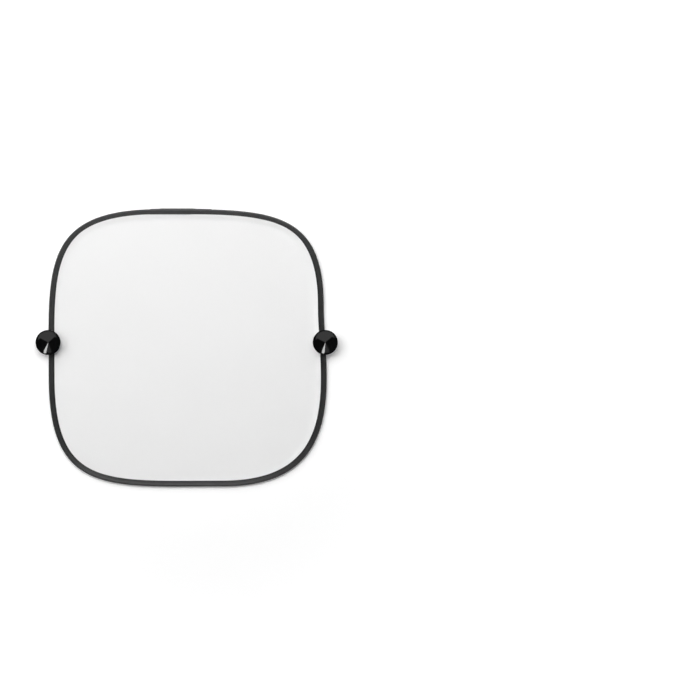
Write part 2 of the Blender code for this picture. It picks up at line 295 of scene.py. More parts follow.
class NodeBench:
    """A place to wire up one material's nodes."""

    def __init__(self, name: str) -> None:
        """Makes a material with a bare Principled shader.

        Args:
            name: The material's name.
        """
        self.material = bpy.data.materials.new(name)
        self.material.use_nodes = True
        self.tree = self.material.node_tree
        self.shader = self.tree.nodes["Principled BSDF"]

    def node(self, kind: str, **settings: object) -> bpy.types.Node:
        """Adds a node and sets its properties.

        Args:
            kind: The node's type, without its "ShaderNode" prefix.
            **settings: Properties of the node.

        Returns:
            The new node.
        """
        made = self.tree.nodes.new("ShaderNode" + kind)
        for setting, value in settings.items():
            setattr(made, setting, value)
        return made

    def feed(self, socket: Socket, value: object) -> None:
        """Links a socket to another, or sets it to a plain value."""
        if isinstance(value, Socket):
            self.tree.links.new(value, socket)
        else:
            socket.default_value = value

    def math(self, operation: str, first: object, second: object = 0.0) -> Socket:
        """Does one sum.

        Args:
            operation: The Math node's operation.
            first: A socket or a number.
            second: A socket or a number.

        Returns:
            The result's socket.
        """
        made = self.node("Math", operation=operation)
        self.feed(made.inputs[0], first)
        self.feed(made.inputs[1], second)
        return made.outputs[0]

    def waves(self, value: object, pitch: float) -> Socket:
        """A cosine of 1 at every whole pitch and -1 between, of a length in metres."""
        return self.math("COSINE", self.math("MULTIPLY", value, math.tau / pitch))

    def place(self) -> Socket:
        """The point on the piece in its own coordinates."""
        return self.node("TexCoord").outputs["Object"]

    def axes(self, point: object) -> tuple[Socket, ...]:
        """A point's X, Y and Z, as three sockets."""
        split = self.node("SeparateXYZ")
        self.feed(split.inputs[0], point)
        return tuple(split.outputs)

    def weigh(self, base: object, *parts: tuple[object, float]) -> Socket:
        """Adds patterns up, each by its own weight.

        Args:
            base: What they are added to, a socket or a number.
            *parts: Each pattern's socket and its weight.

        Returns:
            The sum's socket.
        """
        for pattern, weight in parts:
            base = self.math("ADD", base, self.math("MULTIPLY", pattern, weight))
        return base

    def noise(self, scale: float, detail: float = 3.0, point: object = None) -> Socket:
        """A cloudy pattern from 0 to 1.

        Args:
            scale: How many features there are in one unit of the coordinates.
            detail: How many finer layers are added.
            point: The coordinates' socket, where they aren't the piece's own.

        Returns:
            The pattern's socket.
        """
        made = self.node("TexNoise")
        self.feed(made.inputs["Vector"], self.place() if point is None else point)
        made.inputs["Scale"].default_value = scale
        made.inputs["Detail"].default_value = detail
        return made.outputs["Fac"]

    def ramp(
        self, value: object, limits: tuple, results: tuple = (0.0, 1.0), kind: str = "SMOOTHSTEP"
    ) -> Socket:
        """Turns a value between two limits into one between two results.

        Args:
            value: The socket to turn.
            limits: The value's limits.
            results: The result at each of them.
            kind: How it runs from one to the other.

        Returns:
            The result's socket.
        """
        made = self.node("MapRange", interpolation_type=kind)
        self.feed(made.inputs["Value"], value)
        for name, number in zip(("From Min", "From Max", "To Min", "To Max"), (*limits, *results)):
            made.inputs[name].default_value = number
        return made.outputs["Result"]

    def stretch(self, value: object, low: float, high: float) -> Socket:
        """Turns a pattern of 0 to 1 into one of low to high."""
        return self.ramp(value, (0.0, 1.0), (low, high), "LINEAR")

    def shades(self, share: object, low: tuple, high: tuple) -> Socket:
        """Mixes two colours by a share of 0 to 1.

        Args:
            share: The socket that says how much there is of the second colour.
            low: The colour at 0.
            high: The colour at 1.

        Returns:
            The colour's socket.
        """
        made = self.node("Mix", data_type="RGBA")
        self.feed(made.inputs["Factor"], share)
        made.inputs[6].default_value = (*low, 1.0)
        made.inputs[7].default_value = (*high, 1.0)
        return made.outputs[2]

    def relief(self, height: object, depth: float) -> None:
        """Raises the surface's small relief.

        Args:
            height: The pattern's socket, from 0 to 1.
            depth: How far it stands up in metres.
        """
        bump = self.node("Bump")
        bump.inputs["Distance"].default_value = depth
        self.feed(bump.inputs["Height"], height)
        self.feed(self.shader.inputs["Normal"], bump.outputs["Normal"])

    def finish(self, **values: object) -> Material:
        """Sets the shader's sockets and hands the material over.

        Args:
            **values: Values or sockets by the socket's name, with _ for each space.

        Returns:
            The finished material.
        """
        for name, value in values.items():
            self.feed(self.shader.inputs[name.replace("_", " ")], value)
        return self.material


@dataclass(frozen=True)
class KnitFinish:
    """White knitted mesh: rows of tiny round openings between soft threads, with painted shade in the
    openings.
    """

    thread: tuple = (0.888, 0.888, 0.888)
    # the openings' colour is painted shade, a little darker than the threads
    opening: tuple = (0.805, 0.805, 0.805)
    pitch: float = 1.15 * MM
    relief: float = 0.05 * MM
    opens: tuple = (0.2, 1.8)
    # how strongly the painted shade darkens the openings
    hole_shade_share: float = 0.75
    cloud_share: float = 0.25

    def material(self) -> Material:
        """Makes the material, with the openings on a honeycomb grid."""
        bench = NodeBench("white_knit")
        across, along, _ = bench.axes(bench.place())
        tall = math.sqrt(3.0) / 2.0
        slant = bench.math("MULTIPLY", along, tall)
        half = bench.math("MULTIPLY", across, 0.5)
        ways = (bench.math("ADD", slant, half), across, bench.math("SUBTRACT", slant, half))
        grid = bench.weigh(0.0, *((bench.waves(way, self.pitch * tall), 1.0) for way in ways))
        hole = bench.ramp(grid, self.opens)
        cloud = bench.stretch(bench.noise(9.0), 0.0, self.cloud_share)
        # painted shade: darker where the openings are
        share = bench.weigh(cloud, (hole, self.hole_shade_share))
        bench.relief(bench.math("SUBTRACT", 1.0, hole), self.relief)
        return bench.finish(
            Base_Color=bench.shades(share, self.thread, self.opening),
            Roughness=0.86,
            Specular_IOR_Level=0.25,
            Sheen_Weight=0.08,
        )


@dataclass(frozen=True)
class TapeFinish:
    """Dark grey woven tape, with painted light and shade: a painted highlight along the bead's crown, painted
    shade in the rib grooves and along the inner edge, and painted brighter and darker stretches round the
    hoop.

    It is read from the piece's own UV map, which is in millimetres.
    """

    ridge: tuple = (0.042, 0.042, 0.042)
    # the dark end of the colour mix, which the painted shade in the rib grooves pulls towards
    groove: tuple = (0.008, 0.008, 0.008)
    thread_pitch: float = 0.36
    fibre_scale: tuple = (1.0, 5.0, 1.0)
    crown_at: float = 3.3
    crown_width: float = 2.3
    # where the painted shade along the tape's inner edge starts and where it is full, in mm round the section
    shaded_edge_span: tuple = (5.9, 7.2)
    # where the painted light round the hoop is brightest, in mm along the tape
    brightest_lit_at: float = 340.0
    relief: float = 0.045 * MM
    base: float = -0.15
    # weight of the painted shade in the rib grooves
    groove_shade_share: float = 0.28
    thread_share: float = 0.15
    fuzz_share: float = 0.22
    patch_share: float = 0.45
    # weight of the painted highlight along the bead's crown
    crown_highlight_share: float = 0.30
    # weight of the painted shade along the inner edge
    shaded_edge_share: float = -0.5
    # weights of the painted light that runs once and twice round the hoop
    painted_light_once_round: float = 0.36
    painted_light_twice_round: float = -0.216

    def material(self, rib_pitch: float, total: float) -> Material:
        """Makes the material.

        Args:
            rib_pitch: The distance from one rib to the next in metres.
            total: The tape's length once round in metres.

        Returns:
            The finished material.
        """
        bench = NodeBench("dark_woven_tape")
        chart = bench.node("UVMap", uv_map="weave").outputs["UV"]
        along, around, _ = bench.axes(chart)
        pitch, lap = rib_pitch / MM, total / MM
        # painted shade: 0 in the rib grooves and 1 on the rib tops
        rib = bench.weigh(0.5, (bench.waves(along, pitch), -0.5))
        shifted = bench.weigh(around, (along, self.thread_pitch / (2.0 * pitch)))
        thread = bench.weigh(0.5, (bench.waves(shifted, self.thread_pitch), 0.5))
        fibres = bench.node("Mapping")
        fibres.inputs["Scale"].default_value = self.fibre_scale
        bench.feed(fibres.inputs["Vector"], chart)
        fuzz = bench.noise(1.1, 4.0, fibres.outputs["Vector"])
        from_back = bench.math("ABSOLUTE", around)
        aside = bench.math("ABSOLUTE", bench.math("SUBTRACT", from_back, self.crown_at))
        aside = bench.math("MINIMUM", bench.math("DIVIDE", aside, self.crown_width), 1.0)
        share = bench.weigh(
            self.base,
            # painted shade in the rib grooves
            (rib, self.groove_shade_share),
            (thread, self.thread_share),
            (fuzz, self.fuzz_share),
            (bench.noise(0.11, 3.0, chart), self.patch_share),
            # painted highlight: paler the nearer a place is to the bead's crown
            (bench.math("SUBTRACT", 1.0, aside), self.crown_highlight_share),
            # painted shade: darker towards the tape's inner edge
            (bench.ramp(from_back, self.shaded_edge_span), self.shaded_edge_share),
            # painted light: brighter and darker stretches round the hoop, as the lamps catch them
            (bench.waves(bench.math("SUBTRACT", along, self.brightest_lit_at), lap), self.painted_light_once_round),
            (bench.waves(along, lap / 2.0), self.painted_light_twice_round),
        )
        bench.relief(bench.weigh(0.0, (thread, 0.7), (fuzz, 0.3)), self.relief)
        return bench.finish(
            Base_Color=bench.shades(share, self.groove, self.ridge),
            Roughness=bench.stretch(fuzz, 0.31, 0.45),
            Specular_IOR_Level=0.5,
            Sheen_Weight=0.08,
        )


@dataclass(frozen=True)
class ThreadFinish:
    """Twisted black sewing thread."""

    light: tuple = (0.034, 0.035, 0.037)
    dark: tuple = (0.011, 0.011, 0.012)
    ply_pitch: float = 0.55 * MM

    def material(self) -> Material:
        """Makes the material, with the plies as slanting bands."""
        bench = NodeBench("sewing_thread")
        across, along, _ = bench.axes(bench.place())
        plies = bench.waves(bench.math("ADD", across, along), self.ply_pitch)
        share = bench.weigh(0.4, (plies, 0.35), (bench.noise(2500.0), 0.3))
        bench.relief(share, 0.03 * MM)
        return bench.finish(
            Base_Color=bench.shades(share, self.dark, self.light), Roughness=0.55, Sheen_Weight=0.1
        )


@dataclass(frozen=True)
class VinylFinish:
    """Glossy black soft vinyl, straight from a polished mould."""

    colour: tuple = (0.0012, 0.0012, 0.0013)
    bloom: tuple = (0.0030, 0.0030, 0.0032)
    relief: float = 0.004 * MM

    def material(self) -> Material:
        """Makes the material, with a faint bloom and an almost flat skin."""
        bench = NodeBench("black_vinyl_gloss")
        bench.relief(bench.noise(700.0, 2.0), self.relief)
        return bench.finish(
            Base_Color=bench.shades(bench.noise(160.0), self.colour, self.bloom),
            Roughness=bench.stretch(bench.noise(320.0), 0.05, 0.13),
            Specular_IOR_Level=0.5,
        )


@dataclass(frozen=True)
class SteelFinish:
    """Drawn spring steel with fine marks along the wire."""

    bright: tuple = (0.52, 0.53, 0.55)
    dull: tuple = (0.30, 0.31, 0.33)

    def material(self) -> Material:
        """Makes the material."""
        bench = NodeBench("drawn_spring_steel")
        marks = bench.noise(1400.0, 4.0)
        stains = bench.noise(60.0, 2.0)
        bench.relief(marks, 0.01 * MM)
        return bench.finish(
            Base_Color=bench.shades(bench.math("MULTIPLY", marks, stains), self.dull, self.bright),
            Roughness=bench.stretch(marks, 0.24, 0.46),
            Metallic=1.0,
        )


@dataclass(frozen=True)
class PaperFinish:
    """The plain white paper under the shade: it shows white to the camera and keeps its shadows."""

    colour: tuple = (0.90, 0.90, 0.90)
    lift: float = 0.21
    lift_far: float = 0.80
    near: float = 0.25
    far: float = 0.85

    def material(self) -> Material:
        """Makes the material, with a little added white for camera, glossy and clear rays.

        There is more of it far from the shade, where the lamps fall off and no shadow lies.

        Returns:
            The finished material.
        """
        bench = NodeBench("white_paper")
        reach = bench.node("VectorMath", operation="LENGTH")
        bench.feed(reach.inputs[0], bench.place())
        lift = bench.ramp(reach.outputs["Value"], (self.near, self.far), (self.lift, self.lift_far))
        rays = bench.node("LightPath").outputs
        seen = bench.math("MAXIMUM", rays["Is Camera Ray"], rays["Is Glossy Ray"])
        seen = bench.math("MAXIMUM", seen, rays["Is Transmission Ray"])
        bench.relief(bench.noise(900.0, 4.0), 0.01 * MM)
        return bench.finish(
            Base_Color=(*self.colour, 1.0),
            Roughness=0.95,
            Specular_IOR_Level=0.0,
            Emission_Color=(1.0, 1.0, 1.0, 1.0),
            Emission_Strength=bench.math("MULTIPLY", seen, lift),
        )


# The hoop that the tape, the sheet and the stitches follow


@dataclass
class HoopLine:
    """The wire's centre line: four curved corners between the crowns of its sides."""

    left: float = 0.1923
    right: float = 0.1889
    top: float = 0.1921
    bottom: float = 0.1923
    left_crown: float = -0.0402
    right_crown: float = 0.0591
    top_crown: float = -0.0383
    bottom_crown: float = 0.0491
    right_up: float = 0.1357
    top_right: float = 0.1508
    top_left: float = 0.1668
    left_up: float = 0.1518
    left_down: float = 0.1651
    bottom_left: float = 0.1614
    bottom_right: float = 0.1816
    right_down: float = 0.0937
    bead_height: float = 0.00435
    steps: int = 400
    points: list[Vector] = field(default_factory=list)
    lengths: list[float] = field(default_factory=list)
    shift: Vector = field(default_factory=Vector)

    def corners(self) -> list[tuple[Vector, Vector, Vector, Vector]]:
        """The four corners, counter-clockwise from the right-hand crown, as curve handles."""
        east, north = Vector((1.0, 0.0, 0.0)), Vector((0.0, 1.0, 0.0))
        right = Vector((self.right, self.right_crown, 0.0))
        top = Vector((self.top_crown, self.top, 0.0))
        left = Vector((-self.left, self.left_crown, 0.0))
        bottom = Vector((self.bottom_crown, -self.bottom, 0.0))
        return [
            (right, right + north * self.right_up, top + east * self.top_right, top),
            (top, top - east * self.top_left, left + north * self.left_up, left),
            (left, left - north * self.left_down, bottom - east * self.bottom_left, bottom),
            (bottom, bottom + east * self.bottom_right, right - north * self.right_down, right),
        ]

    def settle(self, low: Vector, high: Vector) -> None:
        """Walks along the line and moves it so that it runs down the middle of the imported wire.

        Args:
            low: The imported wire's lowest corner.
            high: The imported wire's highest corner.
        """
        walked = []
        for corner in self.corners():
            walked += interpolate_bezier(*corner, self.steps)[:-1]
        middle = [(min(p[axis] for p in walked) + max(p[axis] for p in walked)) / 2 for axis in (0, 1)]
        self.shift = Vector(((low[0] + high[0]) / 2 - middle[0], (low[1] + high[1]) / 2 - middle[1], 0.0))
        self.points = [point + self.shift for point in walked]
        self.points.append(self.points[0].copy())
        self.lengths = [0.0]
        for here, beyond in zip(self.points, self.points[1:]):
            self.lengths.append(self.lengths[-1] + (beyond - here).length)

    @property
    def total(self) -> float:
        """The length once round."""
        return self.lengths[-1]

    def at(self, distance: float) -> Vector:
        """The point at a distance along the line."""
        distance %= self.total
        i = min(bisect_right(self.lengths, distance), len(self.lengths) - 1) - 1
        share = (distance - self.lengths[i]) / (self.lengths[i + 1] - self.lengths[i])
        return self.points[i].lerp(self.points[i + 1], share)

    def outward(self, distance: float) -> Vector:
        """The flat unit vector that points away from the sheet at a distance along the line."""
        run = self.at(distance + 0.5 * MM) - self.at(distance - 0.5 * MM)
        return Vector((run.y, -run.x, 0.0)).normalized()

    def beside(self, distance: float, inward: float, height: float) -> Vector:
        """A point inside the line.

        Args:
            distance: How far along the line.
            inward: How far from the line towards the middle.
            height: Its height over the floor.

        Returns:
            The point.
        """
        point = self.at(distance) - self.outward(distance) * inward
        point.z = height
        return point

    def top_crossing(self, across: float) -> float:
        """How far along the line its top side passes a place from left to right."""
        for i, (here, beyond) in enumerate(zip(self.points, self.points[1:])):
            if here.y > self.top / 2.0 and beyond.x <= across < here.x:
                share = (across - here.x) / (beyond.x - here.x)
                return self.lengths[i] + share * (self.lengths[i + 1] - self.lengths[i])
        raise ValueError("the top side doesn't reach that far")

    def guide(self) -> Piece:
        """Draws the line as a curve that straight pieces can be bent along.

        A closed curve bends from its last knot, so that one is the right-hand crown.

        Returns:
            The closed curve, at the height of the bead.
        """
        deselect_all()
        bpy.ops.curve.primitive_bezier_curve_add()
        curve = bpy.context.object
        curve.name = "hoop_guide"
        curve.data.dimensions = "3D"
        curve.data.twist_mode = "Z_UP"
        curve.data.resolution_u = 256
        spline = curve.data.splines[0]
        spline.bezier_points.add(2)
        spline.use_cyclic_u = True
        corners = self.corners()
        for i, (point, leaving, _, _) in enumerate(corners):
            knot = spline.bezier_points[i - 1]
            knot.handle_left_type = knot.handle_right_type = "FREE"
            knot.co = point + self.shift
            knot.handle_right = leaving + self.shift
            knot.handle_left = corners[i - 1][2] + self.shift
        curve.location.z = self.bead_height
        return curve


# The folded tape


@dataclass
class EdgeTape:
    """The ribbed tape that is folded over the wire and the sheet's edge."""

    hoop: HoopLine
    bore: float = 1.55 * MM
    wall: float = 0.50 * MM
    slot: float = 0.40 * MM
    depth: float = 6.25 * MM
    depth_at_top: float = 5.15 * MM
    top_starts: float = 0.35
    top_full: float = 0.90
    sleeve_middle: float = -14.0 * MM
    sleeve_half: float = 20.2 * MM
    sleeve_growth: float = 0.50 * MM
    sleeve_ramp: float = 8.0 * MM
    lap_left: float = -52.0 * MM
    lap_right_inner: float = 4.0 * MM
    lap_right_outer: float = 33.0 * MM
    lap_reach: float = 0.30 * MM
    lap_air: float = 0.02 * MM
    rib_pitch: float = 1.50 * MM
    rib_depth: float = 0.07 * MM
    lapped_ribs: float = 0.35
    rings_per_rib: int = 2
    leg_root: float = 2.30 * MM
    leg_starts: float = 0.30 * MM
    leg_blend: float = math.radians(4.0)
    seam_from_edge: float = 1.15 * MM
    seam_half: float = 0.45 * MM
    seam_groove: float = 0.20 * MM
    hem_starts: float = 0.22 * MM
    hem_shoulder: tuple = (0.05 * MM, 0.14 * MM)
    hem_toe: tuple = (0.06 * MM, 0.10 * MM)
    skin: float = 0.20 * MM
    swell: float = 1.00 * MM
    chart_root: float = 1.50 * MM
    chart_lead: float = 1.20 * MM
    chart_inside: float = 20.0
    bead_facets: int = 14
    bore_facets: int = 5
    weld: float = 0.015 * MM
    joint: float = 0.05 * MM
    sleeve_at: float = 0.0
    lap_ends: list[float] = field(default_factory=list)

    def settle(self) -> None:
        """Fits a whole number of ribs round the hoop and finds the sleeve and the lap on it."""
        self.rib_pitch = self.hoop.total / round(self.hoop.total / self.rib_pitch)
        marks = (self.sleeve_middle, self.lap_right_outer, self.lap_right_inner, self.lap_left)
        self.sleeve_at, *self.lap_ends = (self.hoop.top_crossing(x + self.hoop.shift.x) for x in marks)

    def local_depth(self, distance: float) -> float:
        """How far the tape reaches in from the wire, which is less along the top."""
        rise = self.hoop.outward(distance).y - self.top_starts
        share = eased(rise / (self.top_full - self.top_starts))
        return self.depth + (self.depth_at_top - self.depth) * share

    def growth(self, distance: float) -> float:
        """How much wider the bead is than elsewhere, over the hidden sleeve."""
        past = abs(distance - self.sleeve_at) - self.sleeve_half
        return self.sleeve_growth * eased(1.0 - past / self.sleeve_ramp)

    def lapped(self, distance: float) -> bool:
        """Whether a place lies under the smooth lap."""
        start, _, end = self.lap_ends
        return start < distance < end

    @staticmethod
    def round_part(radius: float, opening: float, facets: int, way: int) -> list[tuple[float, float]]:
        """Points of a circle that is open towards the sheet.

        Args:
            radius: The circle's radius.
            opening: Half of the angle that is left out.
            facets: How many steps it has.
            way: 1 from the back over the outside to the front, or -1 from the front.

        Returns:
            The points, as distances towards the sheet and up.
        """
        sweep = math.tau - 2.0 * opening
        angles = [way * (opening - math.pi + sweep * n / facets) for n in range(facets + 1)]
        return [(-radius * math.cos(angle), radius * math.sin(angle)) for angle in angles]

    def section(self, bore: float, wall: float, inner: float, depth: float) -> list[Vector]:
        """The folded tape's closed outline, across the hoop with +Y towards the sheet.

        Args:
            bore: The radius that it leaves for what is inside.
            wall: Its thickness.
            inner: Half of the gap between its two legs.
            depth: How far its legs reach from the wire.

        Returns:
            The corners in order, from the bead's root at the back over its outside.
        """
        radius = bore + wall
        outer = inner + wall
        seam = depth - self.seam_from_edge
        leg = [
            (radius + self.leg_starts, outer),
            (seam - self.seam_half, outer),
            (seam, outer - self.seam_groove),
            (seam + self.seam_half, outer),
            (depth - self.hem_starts, outer),
            (depth - self.hem_shoulder[0], outer - self.hem_shoulder[1]),
            (depth, inner + self.hem_toe[1]),
            (depth - self.hem_toe[0], inner),
        ]
        bead = self.round_part(radius, math.asin(outer / radius) + self.leg_blend, self.bead_facets, 1)
        inside = self.round_part(bore, math.asin(inner / bore), self.bore_facets, -1)
        outline = bead + leg + inside + [(y, -z) for y, z in reversed(leg)]
        return [Vector((0.0, y, z)) for y, z in outline]

    def strip(self, name: str, outline: list[Vector], start: float, end: float) -> Piece:
        """Draws a section and repeats it along a straight line, in even steps for each rib.

        Args:
            name: The strip's name.
            outline: The section's corners.
            start: The distance along the hoop at which it begins.
            end: The distance at which it ends.

        Returns:
            The straight strip along X, open at its two ends.
        """
        step = self.rib_pitch / self.rings_per_rib
        first = round(start / step)
        count = round(end / step) - first
        piece = draw_outline(name, [point + Vector((first * step, 0.0, 0.0)) for point in outline], True)
        with editing(piece):
            pull(Vector((step, 0.0, 0.0)))
        repeat(piece, count, step, use_merge_vertices=True, merge_threshold=self.weld)
        close_up(piece, self.weld)
        return piece

    def chart(self, piece: Piece) -> None:
        """Unrolls the straight strip into a UV map in millimetres, along it and round it."""
        layer = piece.data.uv_layers.new(name="weave")
        for face in piece.data.polygons:
            inside = face.normal.y * face.center.y + face.normal.z * face.center.z < 0.0
            for loop in face.loop_indices:
                point = piece.data.vertices[piece.data.loops[loop].vertex_index].co
                radius = max(math.hypot(point.y, point.z), 1e-6)
                if point.y > self.chart_root:
                    around = self.chart_lead + point.y
                else:
                    around = radius * math.acos(min(max(-point.y / radius, -1.0), 1.0))
                side = -1.0 if face.center.z < 0.0 else 1.0
                shift = self.chart_inside if inside else 0.0
                layer.data[loop].uv = (point.x / MM, side * around / MM + shift)

    def relieve(self, piece: Piece, nominal: float) -> None:
        """Presses the ribs into a straight strip, and fits its width and bead to each place.

        Args:
            piece: The straight strip.
            nominal: How far the strip's legs reach before they are fitted.
        """
        normals = [vertex.normal.copy() for vertex in piece.data.vertices]
        places = {}
        root = self.leg_root
        for vertex, normal in zip(piece.data.vertices, normals):
            point = vertex.co
            key = round(point.x, 7)
            if key not in places:
                places[key] = (self.local_depth(key), self.growth(key), self.lapped(key))
            depth, growth, lapped = places[key]
            radius = math.hypot(point.y, point.z)
            outside = normal.y * point.y + normal.z * point.z > 0.0
            groove = 0.5 + 0.5 * math.cos(math.tau * key / self.rib_pitch)
            if outside and radius > self.bore + self.skin:
                flat = Vector((0.0, normal.y, normal.z)).normalized()
                point -= flat * self.rib_depth * (self.lapped_ribs if lapped else 1.0) * groove
            if point.y > root:
                point.y = root + (point.y - root) * (depth - root) / (nominal - root)
            elif growth > 0.0:
                share = eased((root - point.y) / self.swell)
                point.yz = point.yz * (1.0 + share * growth / radius)
            vertex.co = point

    def build(self, guide: Piece, finish: TapeFinish) -> Piece:
        """Makes the tape once round, with its own end lapped over it at the top.

        Args:
            guide: The curve that it follows.
            finish: The woven finish.

        Returns:
            The finished piece.
        """
        outline = self.section(self.bore, self.wall, self.slot, self.depth)
        loop = self.strip("edge_tape", outline, 0.0, self.hoop.total)
        self.chart(loop)
        self.relieve(loop, self.depth)
        lay_round(loop, guide, self.hoop.bead_height)
        seal(loop, self.joint)
        close_up(loop)
        lap = self.lap()
        lay_round(lap, guide, self.hoop.bead_height)
        tape = join("edge_tape", [loop, lap])
        smooth(tape, 55.0)
        tape.data.materials.append(finish.material(self.rib_pitch, self.hoop.total))
        return tape

    def lap(self) -> Piece:
        """The tape's end over its own start: square at the left, cut slanting at the right.

        Returns:
            The straight strip, closed at both ends.
        """
        tip, heel, square = self.lap_ends
        lift = self.wall + self.lap_air
        deep = self.depth_at_top + self.lap_reach
        outline = self.section(self.bore + lift, self.wall, self.slot + lift, deep)
        piece = self.strip("edge_lap", outline, tip - self.rib_pitch, square + self.rib_pitch)
        self.chart(piece)
        self.relieve(piece, deep)
        for vertex in piece.data.vertices:
            if vertex.co.y > self.leg_root:
                vertex.co.y += self.lap_reach
        width = deep + self.bore + self.wall
        slant = Vector((width, tip - heel, 0.0)).normalized()
        cuts = (
            (Vector((tip, -self.bore - self.wall, 0.0)), slant, False),
            (Vector((square, 0.0, 0.0)), Vector((1.0, 0.0, 0.0)), True),
        )
        with editing(piece):
            for place, normal, beyond in cuts:
                bpy.ops.mesh.select_all(action="SELECT")
                bpy.ops.mesh.bisect(
                    plane_co=place, plane_no=normal, use_fill=True, clear_inner=not beyond, clear_outer=beyond
                )
        close_up(piece)
        return piece


@dataclass
class SeamStitches:
    """The rows of stitches that hold the tape's two legs to the sheet."""

    tape: EdgeTape
    pitch: float = 3.2 * MM
    length: float = 2.35 * MM
    radius: float = 0.17 * MM
    straight_share: float = 0.7
    dive: float = 1.3
    taper: float = 0.7
    wander: float = 0.12 * MM
    wander_step: float = 12.9898
    facets: int = 6

    def stitch(self) -> Piece:
        """Models one stitch: a short thread whose two ends dive into the tape.

        Returns:
            The stitch, along X from its middle.
        """
        deselect_all()
        straight = self.length * self.straight_share
        bpy.ops.mesh.primitive_cylinder_add(
            vertices=self.facets, radius=self.radius, depth=straight, rotation=(0.0, math.pi / 2, 0.0)
        )
        piece = bpy.context.object
        freeze()
        for side in (-1.0, 1.0):
            with editing(piece, "DESELECT"):
                bpy.ops.mesh.select_mode(type="FACE")
            for face in piece.data.polygons:
                face.select = face.normal.x * side > 0.9
            with editing(piece, ""):
                pull(Vector((side * (self.length - straight) / 2.0, 0.0, -self.radius * self.dive)))
                bpy.ops.transform.resize(value=(1.0, self.taper, self.taper))
        return piece

    def row(self, face: Face, guide: Piece) -> Piece:
        """Repeats the stitch along one face of the tape.

        Args:
            face: The face of the shade that the row is on.
            guide: The curve that the seam follows.

        Returns:
            The row, in place.
        """
        tape, hoop = self.tape, self.tape.hoop
        count = round(hoop.total / self.pitch)
        pitch = hoop.total / count
        piece = self.stitch()
        repeat(piece, count, pitch)
        surface = tape.slot + tape.wall - tape.seam_groove
        tip, heel, end = tape.lap_ends
        bead = tape.bore + tape.wall
        seam = tape.depth_at_top - tape.seam_from_edge
        start = tip + (heel - tip) * (bead + seam) / (bead + tape.depth_at_top)
        for vertex in piece.data.vertices:
            number = round(vertex.co.x / pitch)
            middle = number * pitch
            over = tape.wall + tape.lap_air if start < middle < end else 0.0
            reach = tape.local_depth(middle) - tape.seam_from_edge
            vertex.co.y += reach + self.wander * math.sin(number * self.wander_step)
            vertex.co.z = face.value * (vertex.co.z + surface + over)
        lay_round(piece, guide, hoop.bead_height)
        return piece

    def build(self, guide: Piece, finish: ThreadFinish) -> Piece:
        """Makes both rows one piece.

        Args:
            guide: The curve that the seam follows.
            finish: The thread's finish.

        Returns:
            The finished piece.
        """
        stitches = join("seam_stitches", [self.row(face, guide) for face in Face])
        close_up(stitches)
        smooth(stitches, 60.0)
        stitches.data.materials.append(finish.material())
        return stitches


# The sheet


